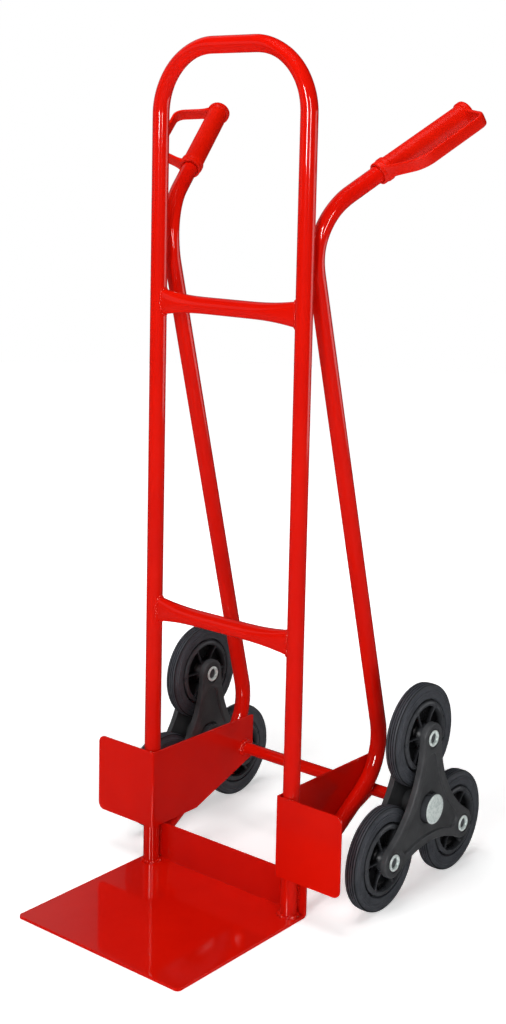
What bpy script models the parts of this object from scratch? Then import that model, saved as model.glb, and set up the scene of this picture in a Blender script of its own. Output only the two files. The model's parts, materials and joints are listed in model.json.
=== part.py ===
"""A stair-climbing hand truck: a welded tube frame on two clusters of three wheels.

Metres, +Z up. X is the width, -Y the side of the toe plate, +Y the side of the wheels and handles.
The origin is on the ground, at the middle of the outline. Every piece is an object of its own.
"""

import math

import bmesh
import bpy
from mathutils import Matrix, Vector

# ---- Driving dimensions -------------------------------------------------------------------
GAP = 0.0003                 # between pieces that touch

TUBE_R = 0.0125              # 25 mm frame tube
UPRIGHT_X = 0.136            # centreline of an upright, and of the handle tube behind it
LOOP_TOP = 1.2545            # centreline of the loop's top
LOOP_BEND_R = 0.097
CROSSBAR_HEIGHTS = {"upper": 0.883, "lower": 0.4125}
CROSSBAR_END_HEIGHT = 0.039  # the flattened end of a crossbar
CROSSBAR_END_DEPTH = 0.0145
CROSSBAR_FLARE = 0.055       # length over which a crossbar goes from round to flat

PLATE_WIDTH = 0.311          # toe plate
PLATE_FRONT = 0.2635         # how far it reaches in front of the uprights
PLATE_T = 0.0045
PLATE_DIP = 0.0002
FLANGE_HEIGHT = 0.0632
FLANGE_FACE = 0.0140         # front face of the flange, behind the uprights' centreline
FLANGE_BEND_R = 0.006
PLATE_CORNER_R = 0.007

SHEET_T = 0.003              # side plates
SIDE_BOTTOM = 0.0657
SIDE_TOP = 0.187
WING_EDGE_X = 0.238
WING_CORNER_R = 0.011
PANEL_REAR = 0.2305          # behind the uprights' centreline
PANEL_KINK = 0.0905
PANEL_REAR_TOP = 0.1845
PANEL_REAR_BOTTOM = 0.1145

HANDLE_TOP_BEND_R = 0.103
HANDLE_LOW_BEND_R = 0.09
HANDLE_TOP_CORNER = (0.134, 0.0100, 1.0095)   # (out, behind the uprights, height) where the straights would meet
HANDLE_LOW_CORNER = (UPRIGHT_X, 0.2338, 0.1746)
HANDLE_FOOT = (UPRIGHT_X, 0.0190, 0.0414)
GRIP_AXIS = (0.3263, 0.7810, 0.5326)   # outward, back and up
GRIP_START = 0.1281                    # from the handle's top corner, along that axis
GRIP_LENGTH = 0.1735
GRIP_R = 0.0164
GUARD_HEIGHT = 0.015
GUARD_T = 0.0055
GUARD_CORNERS = ((0.007, 0.0105), (0.036, 0.065), (0.155, 0.067), (0.1658, 0.010))   # (along the grip, out from it)
GUARD_BEND_R = (0.030, 0.016)

AXLE_BACK = 0.2075           # behind the uprights
AXLE_TUBE_R = 0.0095
SHAFT_R = 0.007
CLUSTER_R = 0.1094           # from the axle to a wheel's centre
WHEEL_R = 0.0785
WHEEL_X = 0.2175             # middle of the tyres
TYRE_WIDTH = 0.0225
TYRE_SHOULDER = (0.0100, 0.0050)   # radial, along the axle
RIM_R = 0.0545
RIM_OPENING_R = 0.0460
RIM_WIDTH = 0.026            # its lips stand a little proud of the tyre
HUB_WIDTH = 0.0318
HUB_R = 0.018
WEB_T = 0.003
RIB_COUNT = 6
RIB_T = 0.004
RIB_WIDTH = 0.018
PIN_R = 0.0098               # hollow wheel pin
PIN_BORE_R = 0.0082
PIN_FLANGE_R = 0.0135
PIN_FLANGE_T = 0.0012
SPIDER_T = 0.010
SPIDER_BOSS_R = 0.0235
SPIDER_WAIST_R = 0.054       # from the axle to the middle of a concave side
SLEEVE_R = 0.017             # spacer between the two spiders
WASHER_R = 0.017
WASHER_T = 0.002
CAP_R = 0.0235
CAP_T = 0.0055

TUBE_BEVEL = 4               # gives 12 sides
ARC_STEPS = 8
WHEEL_STEPS = 24
ROUND_STEPS = 16

# ---- Worked out from them -----------------------------------------------------------------
AXLE_Z = WHEEL_R + CLUSTER_R / 2
REACH_BACK = AXLE_BACK + CLUSTER_R * math.cos(math.radians(30)) + WHEEL_R
UPRIGHT_Y = (PLATE_FRONT - REACH_BACK) / 2
SPIDER_INSIDE = HUB_WIDTH / 2 + GAP      # from the wheel's middle to a spider's inner face
SPIDER_OUTSIDE = SPIDER_INSIDE + SPIDER_T
SIDES = {"left": -1, "right": 1}

part = bpy.data.collections.new("stair_hand_truck")
cutters = bpy.data.collections.new("cutters")


def clear_scene():
    for obj in list(bpy.data.objects):
        bpy.data.objects.remove(obj)
    for collection in (part, cutters):
        bpy.context.scene.collection.children.link(collection)


def make_material(name, colour, roughness, metallic=0.0):
    material = bpy.data.materials.new(name)
    material.use_nodes = True
    shader = material.node_tree.nodes["Principled BSDF"]
    shader.inputs["Base Color"].default_value = (*colour, 1.0)
    shader.inputs["Roughness"].default_value = roughness
    shader.inputs["Metallic"].default_value = metallic
    return material


def behind(x, back, z):
    """A point given by its distance behind the uprights' centreline."""
    return Vector((x, UPRIGHT_Y + back, z))


def behind_side(sign, point):
    """The same, for a point given as (outward, behind, height) on one side."""
    return behind(sign * point[0], point[1], point[2])


# ---- Shapes -------------------------------------------------------------------------------
def rounded_path(corners, radii, steps=ARC_STEPS):
    """The corners joined by straight runs, with an arc of the given radius at each inner one."""
    path = [Vector(corners[0])]
    for before, corner, after, radius in zip(corners, corners[1:], corners[2:], radii):
        corner = Vector(corner)
        back = (Vector(before) - corner).normalized()
        on = (Vector(after) - corner).normalized()
        half_turn = (math.pi - back.angle(on)) / 2
        middle = corner + (back + on).normalized() * radius / math.cos(half_turn)
        start = corner + back * radius * math.tan(half_turn) - middle
        end = corner + on * radius * math.tan(half_turn) - middle
        for step in range(steps + 1):
            path.append(middle + start.slerp(end, step / steps) * radius)
    return path + [Vector(corners[-1])]


def arc(centre, radius, start, end, steps=ARC_STEPS):
    """Points on an arc in a plane, from one angle to another in degrees."""
    turns = [math.radians(start + (end - start) * step / steps) for step in range(steps + 1)]
    return [(centre[0] + radius * math.cos(a), centre[1] + radius * math.sin(a)) for a in turns]


def as_mesh(obj):
    """The object's evaluated mesh, with loose caps welded. The object is removed."""
    graph = bpy.context.evaluated_depsgraph_get()
    mesh = bpy.data.meshes.new_from_object(obj.evaluated_get(graph))
    bm = bmesh.new()
    bm.from_mesh(mesh)
    bmesh.ops.remove_doubles(bm, verts=bm.verts, dist=1e-6)
    bm.to_mesh(mesh)
    bm.free()
    bpy.data.objects.remove(obj)
    return mesh


def tube_mesh(points, radius, bevel=TUBE_BEVEL):
    curve = bpy.data.curves.new("tube", "CURVE")
    curve.dimensions = "3D"
    curve.bevel_depth = radius
    curve.bevel_resolution = bevel
    curve.use_fill_caps = True
    spline = curve.splines.new("POLY")
    spline.points.add(len(points) - 1)
    for point, place in zip(spline.points, points):
        point.co = (*place, 1.0)
    obj = bpy.data.objects.new("tube", curve)
    part.objects.link(obj)
    return as_mesh(obj)


def plate_mesh(outlines, thickness):
    """A flat plate about its middle plane. The first outline is the edge, the others are holes."""
    curve = bpy.data.curves.new("plate", "CURVE")
    curve.dimensions = "2D"
    curve.fill_mode = "BOTH"
    curve.extrude = thickness / 2
    for outline in outlines:
        spline = curve.splines.new("POLY")
        spline.points.add(len(outline) - 1)
        spline.use_cyclic_u = True
        for point, (x, y) in zip(spline.points, outline):
            point.co = (x, y, 0.0, 1.0)
    obj = bpy.data.objects.new("plate", curve)
    part.objects.link(obj)
    return as_mesh(obj)


def turned_mesh(profile, steps=ROUND_STEPS):
    """A closed profile of (radius, along) turned about the X axis. It runs down its outer side."""
    mesh = bpy.data.meshes.new("turned")
    edges = [(i, (i + 1) % len(profile)) for i in range(len(profile))]
    mesh.from_pydata([(radius, 0.0, along) for radius, along in profile], edges, [])
    obj = bpy.data.objects.new("turned", mesh)
    part.objects.link(obj)
    screw = obj.modifiers.new("turn", "SCREW")
    screw.axis = "Z"
    screw.steps = steps
    screw.render_steps = steps
    screw.use_merge_vertices = True
    screw.merge_threshold = 0.00001
    result = as_mesh(obj)
    result.transform(Matrix.Rotation(math.pi / 2, 4, "Y"))
    return result


def ring_profile(inner, outer, low, high):
    return [(inner, high), (outer, high), (outer, low), (inner, low)]


def lofted_mesh(rings):
    """A closed body through rings of points, each with as many points as the next."""
    bm = bmesh.new()
    loops = [[bm.verts.new(point) for point in ring] for ring in rings]
    for loop, following in zip(loops, loops[1:]):
        for i in range(len(loop)):
            j = (i + 1) % len(loop)
            bm.faces.new((loop[i], loop[j], following[j], following[i]))
    bm.faces.new(loops[0])
    bm.faces.new(loops[-1])
    bmesh.ops.recalc_face_normals(bm, faces=bm.faces)
    mesh = bpy.data.meshes.new("loft")
    bm.to_mesh(mesh)
    bm.free()
    return mesh


def box_mesh(size, centre):
    bm = bmesh.new()
    bmesh.ops.create_cube(bm, size=1.0)
    bmesh.ops.scale(bm, vec=size, verts=bm.verts)
    bmesh.ops.translate(bm, vec=centre, verts=bm.verts)
    mesh = bpy.data.meshes.new("box")
    bm.to_mesh(mesh)
    bm.free()
    return mesh


def rod_mesh(radius, low, high, steps=ROUND_STEPS):
    """A solid rod along X."""
    bm = bmesh.new()
    bmesh.ops.create_cone(
        bm, cap_ends=True, segments=steps, radius1=radius, radius2=radius, depth=high - low
    )
    mesh = bpy.data.meshes.new("rod")
    bm.to_mesh(mesh)
    bm.free()
    mesh.transform(Matrix.Translation(((low + high) / 2, 0, 0)) @ Matrix.Rotation(math.pi / 2, 4, "Y"))
    return mesh


# ---- Objects ------------------------------------------------------------------------------
def place(name, mesh, material, location=(0, 0, 0), parent=None):
    """Adds a piece. Its location is in the world, also under a parent."""
    obj = bpy.data.objects.new(name, mesh)
    part.objects.link(obj)
    obj.location = location
    if parent:
        obj.parent = parent
        obj.location = Vector(location) - world_place(parent)
    if material.name not in mesh.materials:
        mesh.materials.clear()
        mesh.materials.append(material)
    mesh.shade_smooth()
    mesh.set_sharp_from_angle(angle=math.radians(35))
    return obj


def world_place(obj):
    return obj.location + (world_place(obj.parent) if obj.parent else Vector((0, 0, 0)))


def joint_axis(name, location, parent=None):
    axis = bpy.data.objects.new(name, None)
    part.objects.link(axis)
    axis.empty_display_size = 0.05
    axis.location = location
    if parent:
        axis.parent = parent
        axis.location = Vector(location) - world_place(parent)
    return axis


def boolean(obj, name, mesh, operation, location=(0, 0, 0)):
    other = bpy.data.objects.new(name, mesh)
    cutters.objects.link(other)
    other.location = location
    other.hide_render = True
    other.display_type = "WIRE"
    modifier = obj.modifiers.new(name, "BOOLEAN")
    modifier.operation = operation
    modifier.solver = "EXACT"
    modifier.object = other


# ---- The frame ----------------------------------------------------------------------------
def make_loop(steel):
    foot = PLATE_T + GAP
    corners = [
        behind(-UPRIGHT_X, 0, foot),
        behind(-UPRIGHT_X, 0, LOOP_TOP),
        behind(UPRIGHT_X, 0, LOOP_TOP),
        behind(UPRIGHT_X, 0, foot),
    ]
    path = rounded_path(corners, [LOOP_BEND_R, LOOP_BEND_R])
    place("frame_loop", tube_mesh(path, TUBE_R), steel)


def crossbar_mesh():
    """A tube that is round in the middle and pressed flat and tall towards both ends."""
    around = 12
    end = UPRIGHT_X - 0.0085
    flare = [CROSSBAR_FLARE * step / 5 for step in range(6)]
    stations = [-end + along for along in flare] + [end - along for along in reversed(flare)]
    turns = [math.tau * step / around for step in range(around)]
    rings = []
    for x in stations:
        share = min(1.0, (end - abs(x)) / CROSSBAR_FLARE)
        round_share = share * share * (3 - 2 * share)
        deep = CROSSBAR_END_DEPTH / 2 + (TUBE_R - CROSSBAR_END_DEPTH / 2) * round_share
        tall = CROSSBAR_END_HEIGHT / 2 + (TUBE_R - CROSSBAR_END_HEIGHT / 2) * round_share
        rings.append([(x, deep * math.cos(a), tall * math.sin(a)) for a in turns])
    return lofted_mesh(rings)


def make_crossbars(steel):
    for name, height in CROSSBAR_HEIGHTS.items():
        bar = place(f"{name}_crossbar", crossbar_mesh(), steel, behind(0, 0, height))
        for side, sign in SIDES.items():
            upright = rod_mesh(TUBE_R + GAP, -0.04, 0.04, 24)
            upright.transform(Matrix.Rotation(math.pi / 2, 4, "Y"))
            boolean(bar, f"{name}_{side}_saddle", upright, "DIFFERENCE", behind(sign * UPRIGHT_X, 0, height))


def make_toe_plate(steel):
    """A sheet folded up at its rear edge, drawn as (behind the uprights, height)."""
    back = FLANGE_FACE + PLATE_T
    inner_r = FLANGE_BEND_R - PLATE_T
    bend = (back - FLANGE_BEND_R, FLANGE_BEND_R)
    outline = [(-PLATE_FRONT, 0)]
    outline += arc(bend, FLANGE_BEND_R, -90, 0, 5)
    outline += [(back, FLANGE_HEIGHT), (FLANGE_FACE, FLANGE_HEIGHT)]
    outline += arc(bend, inner_r, 0, -90, 5)
    # The strip under the uprights dips a little, so that it's apart from the face a load stands on.
    outline += [(-TUBE_R - 0.001, PLATE_T - PLATE_DIP), (-TUBE_R - 0.0012, PLATE_T), (-PLATE_FRONT, PLATE_T)]
    mesh = plate_mesh([outline], PLATE_WIDTH)
    mesh.transform(Matrix(((0, 0, 1, 0), (1, 0, 0, 0), (0, 1, 0, 0), (0, 0, 0, 1))))
    bm = bmesh.new()
    bm.from_mesh(mesh)
    corners = [
        edge
        for edge in bm.edges
        if all(vert.co.y < 0.001 - PLATE_FRONT for vert in edge.verts) and edge.calc_length() < 2 * PLATE_T
    ]
    bmesh.ops.bevel(bm, geom=corners, offset=PLATE_CORNER_R, segments=4, profile=0.5, affect="EDGES")
    bm.to_mesh(mesh)
    bm.free()
    place("toe_plate", mesh, steel, behind(0, 0, 0))


def side_plate_mesh(sign):
    """A sheet folded along the upright: a panel runs back inside it, a wing goes out in front."""
    panel_x = UPRIGHT_X - TUBE_R - GAP - SHEET_T / 2
    wing_back = -TUBE_R - GAP - SHEET_T / 2
    corner_x = WING_EDGE_X - WING_CORNER_R
    low_corner = arc((corner_x, SIDE_BOTTOM + WING_CORNER_R), WING_CORNER_R, -90, 0, 4)
    high_corner = arc((corner_x, SIDE_TOP - WING_CORNER_R), WING_CORNER_R, 0, 90, 4)
    bm = bmesh.new()
    fold_low = bm.verts.new(behind(sign * panel_x, wing_back, SIDE_BOTTOM))
    fold_high = bm.verts.new(behind(sign * panel_x, wing_back, SIDE_TOP))
    wing = [bm.verts.new(behind(sign * x, wing_back, z)) for x, z in low_corner + high_corner]
    panel = [
        bm.verts.new(behind(sign * panel_x, back, z))
        for back, z in (
            (PANEL_REAR, PANEL_REAR_TOP),
            (PANEL_REAR, PANEL_REAR_BOTTOM),
            (PANEL_KINK, SIDE_BOTTOM),
        )
    ]
    bm.faces.new([fold_low] + wing + [fold_high])
    bm.faces.new([fold_low, fold_high] + panel)
    bmesh.ops.recalc_face_normals(bm, faces=bm.faces)
    mesh = bpy.data.meshes.new("side_plate")
    bm.to_mesh(mesh)
    bm.free()
    return mesh


def make_side_plates(steel):
    for side, sign in SIDES.items():
        plate = place(f"side_plate_{side}", side_plate_mesh(sign), steel)
        shell = plate.modifiers.new("sheet", "SOLIDIFY")
        shell.thickness = SHEET_T
        shell.offset = 0.0
        shell.use_even_offset = True
        hole = rod_mesh(AXLE_TUBE_R + GAP, -0.02, 0.02)
        boolean(plate, f"axle_hole_{side}", hole, "DIFFERENCE", behind(sign * UPRIGHT_X, AXLE_BACK, AXLE_Z))


def grip_point(sign, along=0.0, out=0.0):
    """A point on a grip's axis, or outboard of it, level with it and square to it."""
    corner = behind_side(sign, HANDLE_TOP_CORNER)
    axis = Vector((sign * GRIP_AXIS[0], *GRIP_AXIS[1:])).normalized()
    outward = Vector((axis.y * sign, -axis.x * sign, 0)).normalized()
    return corner + axis * (GRIP_START + along) + outward * out


def make_handle_tubes(steel):
    inside_grip = GRIP_LENGTH - 0.012
    for side, sign in SIDES.items():
        bends = [behind_side(sign, point) for point in (HANDLE_TOP_CORNER, HANDLE_LOW_CORNER, HANDLE_FOOT)]
        corners = [grip_point(sign, inside_grip)] + bends
        path = rounded_path(corners, [HANDLE_TOP_BEND_R, HANDLE_LOW_BEND_R])
        tube = place(f"handle_tube_{side}", tube_mesh(path, TUBE_R), steel)
        flange = box_mesh((0.1, 0.1, 0.2), (0, FLANGE_FACE + PLATE_T + GAP - 0.05, 0))
        boolean(tube, f"foot_cut_{side}", flange, "DIFFERENCE", behind(sign * UPRIGHT_X, 0, 0))


def guard_mesh():
    """The knuckle guard: a flat strip bent round the fingers, in the grip's own frame."""
    path = rounded_path([(along, out, 0.0) for along, out in GUARD_CORNERS], GUARD_BEND_R, 5)
    rings = []
    for i, point in enumerate(path):
        on = (path[min(i + 1, len(path) - 1)] - path[max(i - 1, 0)]).normalized()
        tall = Vector((0, 0, GUARD_HEIGHT / 2))
        across = on.cross(tall).normalized() * GUARD_T / 2
        rings.append([point + across + tall, point + across - tall, point - across - tall, point - across + tall])
    return lofted_mesh(rings)


def make_grips(plastic):
    """A moulded sleeve with a collar, a closed end and a knuckle guard, in one piece."""
    end = GRIP_LENGTH
    profile = [
        (0.0, end), (0.0155, end), (0.0182, end - 0.003), (0.0182, end - 0.010), (GRIP_R, end - 0.011),
        (GRIP_R, 0.018), (0.0178, 0.017), (0.0178, 0.010), (0.0168, 0.009), (0.0168, 0.0), (0.0, 0.0),
    ]
    bore_profile = [(0.0, end - 0.0117), (TUBE_R + GAP, end - 0.0117), (TUBE_R + GAP, -0.02), (0.0, -0.02)]
    for side, sign in SIDES.items():
        start = grip_point(sign)
        along = (grip_point(sign, 1.0) - start).normalized()
        out = (grip_point(sign, 0.0, 1.0) - start).normalized()
        frame = Matrix((along, out, along.cross(out))).transposed().to_4x4()
        sleeve = turned_mesh(profile, 20)
        sleeve.transform(frame)
        guard = guard_mesh()
        guard.transform(frame)
        grip = place(f"grip_{side}", sleeve, plastic, start)
        boolean(grip, f"guard_{side}", guard, "UNION", start)
        bore = turned_mesh(bore_profile, 20)
        bore.transform(frame)
        boolean(grip, f"grip_bore_{side}", bore, "DIFFERENCE", start)


def make_axle(steel, zinc):
    place_axle = behind(0, AXLE_BACK, AXLE_Z)
    end = WHEEL_X - SPIDER_OUTSIDE - WASHER_T - 2 * GAP
    cap_inside = WHEEL_X + SPIDER_OUTSIDE + WASHER_T + 2 * GAP
    shaft_end = cap_inside + 0.003
    place("axle_tube", turned_mesh(ring_profile(SHAFT_R + GAP, AXLE_TUBE_R, -end, end)), steel, place_axle)
    place("axle_shaft", rod_mesh(SHAFT_R, -shaft_end, shaft_end), zinc, place_axle)
    return cap_inside, shaft_end


# ---- The wheel clusters -------------------------------------------------------------------
def spider_outlines():
    """Three round arms joined by concave sides, with a bore in each arm and one in the middle."""
    rise = SPIDER_WAIST_R - SPIDER_BOSS_R
    side_centre = (CLUSTER_R**2 - rise**2) / (CLUSTER_R - 2 * rise)
    side_r = side_centre - SPIDER_WAIST_R
    boss = Vector((0, CLUSTER_R, 0))
    side = Vector((side_centre * math.sin(math.pi / 3), side_centre * math.cos(math.pi / 3), 0))
    toward = math.degrees(math.atan2(side.y - boss.y, side.x - boss.x))
    arm = arc(boss.xy, SPIDER_BOSS_R, 180 - toward, toward)
    from_side = math.degrees(math.atan2(boss.y - side.y, boss.x - side.x)) % 360
    middle = 210.0
    concave = arc(side.xy, side_r, from_side, 2 * middle - from_side)[1:-1]
    outline = []
    holes = []
    for turn in (0, -120, -240):
        spin = Matrix.Rotation(math.radians(turn), 3, "Z")
        outline += [(spin @ Vector((x, y, 0))).xy for x, y in arm + concave]
        centre = (spin @ boss).xy
        holes.append(arc(centre, PIN_R + GAP, 0, 360, 12)[:-1])
    holes.append(arc((0, 0), SHAFT_R + GAP, 0, 360, 12)[:-1])
    return [outline] + holes


def spider_mesh():
    mesh = plate_mesh(spider_outlines(), SPIDER_T)
    mesh.transform(Matrix(((0, 0, 1, 0), (1, 0, 0, 0), (0, 1, 0, 0), (0, 0, 0, 1))))
    return mesh


def tyre_mesh():
    half = TYRE_WIDTH / 2
    radial, along = TYRE_SHOULDER
    bead_r = RIM_R + GAP
    quarter = [(math.cos(math.pi * step / 6), math.sin(math.pi * step / 6)) for step in range(4)]
    high = [(WHEEL_R - radial + radial * out, half - along + along * side) for out, side in quarter]
    low = [(radius, -x) for radius, x in reversed(high)]
    profile = [(bead_r, half)] + list(reversed(high)) + list(reversed(low)) + [(bead_r, -half)]
    return turned_mesh(profile, WHEEL_STEPS)


def rim_mesh():
    """Hub, web and rim in one moulding, with ribs on both sides of the web."""
    hub, rim, web = HUB_WIDTH / 2, RIM_WIDTH / 2, WEB_T / 2
    bore = PIN_R + GAP
    profile = [
        (bore, hub), (HUB_R, hub), (HUB_R, web), (RIM_OPENING_R, web), (RIM_OPENING_R, rim), (RIM_R - 0.003, rim),
        (RIM_R, rim - 0.003), (RIM_R, 0.003 - rim), (RIM_R - 0.003, -rim), (RIM_OPENING_R, -rim), (RIM_OPENING_R, -web), (HUB_R, -web), (HUB_R, -hub), (bore, -hub),
    ]
    obj = bpy.data.objects.new("rim", turned_mesh(profile, WHEEL_STEPS))
    part.objects.link(obj)
    inner, outer = HUB_R - 0.003, RIM_OPENING_R + 0.003
    for rib in range(RIB_COUNT):
        mesh = box_mesh((RIB_WIDTH, RIB_T, outer - inner), (0, 0, (inner + outer) / 2))
        mesh.transform(Matrix.Rotation(math.tau * (rib + 0.5) / RIB_COUNT, 4, "X"))
        boolean(obj, f"rib_{rib}", mesh, "UNION")
    return as_mesh(obj)


def pin_mesh():
    """A hollow rivet through both spiders, with a flange on each outer face."""
    face = SPIDER_OUTSIDE + GAP
    end = face + PIN_FLANGE_T
    profile = [
        (PIN_BORE_R, end), (PIN_FLANGE_R, end), (PIN_FLANGE_R, face), (PIN_R, face),
        (PIN_R, -face), (PIN_FLANGE_R, -face), (PIN_FLANGE_R, -end), (PIN_BORE_R, -end),
    ]
    return turned_mesh(profile, 12)


def make_clusters(rubber, nylon, polymer, zinc, cap_inside, shaft_end):
    spider, tyre, rim, pin = spider_mesh(), tyre_mesh(), rim_mesh(), pin_mesh()
    inner_face = SPIDER_OUTSIDE + GAP
    sleeve = turned_mesh(ring_profile(SHAFT_R + GAP, SLEEVE_R, -HUB_WIDTH / 2, HUB_WIDTH / 2))
    washer = turned_mesh(ring_profile(SHAFT_R + GAP, WASHER_R, -WASHER_T / 2, WASHER_T / 2))
    bore = shaft_end + GAP - cap_inside
    cap_profile = [
        (0.0, CAP_T), (CAP_R - 0.003, CAP_T), (CAP_R, CAP_T - 0.002), (CAP_R, 0.0),
        (SHAFT_R + GAP, 0.0), (SHAFT_R + GAP, bore), (0.0, bore),
    ]
    for side, sign in SIDES.items():
        middle = behind(sign * WHEEL_X, AXLE_BACK, AXLE_Z)
        cluster = joint_axis(f"cluster_{side}_axis", middle)
        out = Vector((sign, 0, 0))
        offset = SPIDER_INSIDE + SPIDER_T / 2
        place(f"spider_outer_{side}", spider, nylon, middle + out * offset, cluster)
        place(f"spider_inner_{side}", spider, nylon, middle - out * offset, cluster)
        place(f"hub_sleeve_{side}", sleeve, nylon, middle, cluster)
        washer_offset = inner_face + WASHER_T / 2
        place(f"washer_outer_{side}", washer, zinc, middle + out * washer_offset)
        place(f"washer_inner_{side}", washer, zinc, middle - out * washer_offset)
        cap = turned_mesh(cap_profile, 20)
        if sign < 0:
            cap.transform(Matrix.Rotation(math.pi, 4, "Z"))
        place(f"axle_cap_{side}", cap, zinc, behind(sign * cap_inside, AXLE_BACK, AXLE_Z))
        for number, degrees in enumerate((90, 210, 330), start=1):
            turn = math.radians(degrees)
            hub = middle + Vector((0, math.cos(turn), math.sin(turn))) * CLUSTER_R
            place(f"wheel_pin_{side}_{number}", pin, zinc, hub, cluster)
            wheel = joint_axis(f"wheel_{side}_{number}_axis", hub, cluster)
            place(f"tyre_{side}_{number}", tyre, rubber, hub, wheel)
            place(f"rim_{side}_{number}", rim, polymer, hub, wheel)


def main():
    clear_scene()
    steel = make_material("red_powder_coat", (0.62, 0.01, 0.005), 0.3)
    plastic = make_material("red_plastic", (0.68, 0.02, 0.005), 0.45)
    rubber = make_material("black_rubber", (0.025, 0.028, 0.034), 0.7)
    nylon = make_material("black_nylon", (0.035, 0.035, 0.036), 0.5)
    polymer = make_material("black_polymer", (0.02, 0.021, 0.023), 0.45)
    zinc = make_material("zinc_plated_steel", (0.6, 0.62, 0.63), 0.4, 1.0)
    make_loop(steel)
    make_crossbars(steel)
    make_toe_plate(steel)
    make_side_plates(steel)
    make_handle_tubes(steel)
    make_grips(plastic)
    cap_inside, shaft_end = make_axle(steel, zinc)
    make_clusters(rubber, nylon, polymer, zinc, cap_inside, shaft_end)


main()
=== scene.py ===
"""Looks of the stair-climbing hand truck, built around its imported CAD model.

Metres; +X is the truck's width, -Y its toe plate's side, +Z up.
"""

import json
import math

import bmesh
import bpy
from mathutils import Matrix, Vector


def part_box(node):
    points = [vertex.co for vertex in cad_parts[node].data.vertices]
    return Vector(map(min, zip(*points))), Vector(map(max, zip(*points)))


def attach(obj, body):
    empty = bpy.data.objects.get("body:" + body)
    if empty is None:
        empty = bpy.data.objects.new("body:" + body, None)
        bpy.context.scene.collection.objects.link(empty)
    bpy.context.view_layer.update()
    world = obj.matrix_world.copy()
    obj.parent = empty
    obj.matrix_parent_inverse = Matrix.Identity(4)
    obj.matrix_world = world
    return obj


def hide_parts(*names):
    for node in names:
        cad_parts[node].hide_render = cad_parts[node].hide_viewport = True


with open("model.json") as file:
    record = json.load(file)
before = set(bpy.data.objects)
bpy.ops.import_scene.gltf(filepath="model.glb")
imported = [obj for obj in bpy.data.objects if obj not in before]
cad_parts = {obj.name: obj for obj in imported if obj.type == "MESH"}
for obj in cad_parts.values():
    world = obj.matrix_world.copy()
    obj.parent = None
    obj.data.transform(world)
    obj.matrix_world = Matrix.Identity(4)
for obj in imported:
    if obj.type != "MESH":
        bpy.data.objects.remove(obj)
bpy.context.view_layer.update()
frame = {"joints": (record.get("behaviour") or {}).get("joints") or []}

JOINTS = {joint["name"]: Vector(joint["pos_m"]) for joint in frame["joints"]}
SIDES = {"left": -1, "right": 1}
WHEELS = (1, 2, 3)

# ---- Places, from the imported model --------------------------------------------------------
loop_low, loop_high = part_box("frame_loop")
plate_low, plate_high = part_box("toe_plate")
side_low, side_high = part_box("side_plate_right")
tyre_low, tyre_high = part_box("tyre_right_1")
spider_low, spider_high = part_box("spider_outer_right")
cap_low, cap_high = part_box("axle_cap_right")
axle_low, axle_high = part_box("axle_tube")

TUBE_R = 0.0125
UPRIGHT_X = loop_high.x - TUBE_R
UPRIGHT_Y = (loop_low.y + loop_high.y) / 2
LOOP_TOP = loop_high.z - TUBE_R
CROSSBARS = ("upper_crossbar", "lower_crossbar")
CROSSBAR_Z = {name: sum(corner.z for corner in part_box(name)) / 2 for name in CROSSBARS}
AXLE = JOINTS["cluster_right_turn"]
WHEEL_X = AXLE.x
CLUSTER_R = (JOINTS["wheel_right_1_spin"] - AXLE).length
WHEEL_R = (tyre_high.z - tyre_low.z) / 2

# ---- Sizes --------------------------------------------------------------------------------
# Between neighbouring pieces.
GAP = 0.0003
# How a bend changes the tube, as shares of its radius.
TUBE_SQUEEZE, TUBE_SPREAD = 0.10, 0.04
SHARP_TURN = math.radians(50)
BEAD_SIDES = 12
# Weld beads, each with its radius and the length of its ripples.
CROSSBAR_BEAD, FOOT_BEAD, FLANGE_BEAD = (0.0017, 0.0042), (0.0034, 0.0085), (0.0018, 0.0040)
UPRIGHT_BEAD, PANEL_BEAD = (0.0024, 0.0045), (0.0022, 0.0045)
AXLE_BEADS = ((-1, (0.0038, 0.0050)), (1, (0.0026, 0.0050)))

# Frame.
LOOP_BEND_R = 0.097
CROSSBAR_TALL, CROSSBAR_DEEP, CROSSBAR_FLARE = 0.039, 0.0145, 0.088
CROSSBAR_END = UPRIGHT_X - 0.0085
PLATE_T = 0.0045
FLANGE_BACK = plate_high.y
FLANGE_BEND_R = 0.0065
PLATE_CORNER_R, FLANGE_CORNER_R = 0.007, 0.004
SHEET_T = 0.003
PANEL_X = UPRIGHT_X - TUBE_R - GAP - SHEET_T / 2
WING_CORNER_R = 0.011
FOLD_R = 0.0035
PANEL_REAR, PANEL_KINK = 0.2305, 0.0905
PANEL_REAR_TOP, PANEL_REAR_BOTTOM = 0.1845, 0.1145
HANDLE_CORNERS = ((0.134, 0.0100, 1.0095), (UPRIGHT_X, 0.2338, 0.1746), (UPRIGHT_X, 0.0190, 0.0414))
HANDLE_BEND_R = (0.103, 0.09)

# Grips.
GRIP_AXIS = (0.3263, 0.7810, 0.5326)
GRIP_START, GRIP_LENGTH, GRIP_R = 0.1281, 0.1735, 0.0158
GRIP_DROP = {"left": 0.0, "right": math.radians(0.5)}
GUARD_TURN = {"left": math.radians(4.5), "right": math.radians(1.6)}
GUARD_HEIGHT, GUARD_T = 0.0176, 0.0058
GUARD_CORNERS = ((0.007, 0.0105), (0.036, 0.065), (0.155, 0.067), (0.1658, 0.010))
GUARD_BEND_R = (0.030, 0.016)

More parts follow.
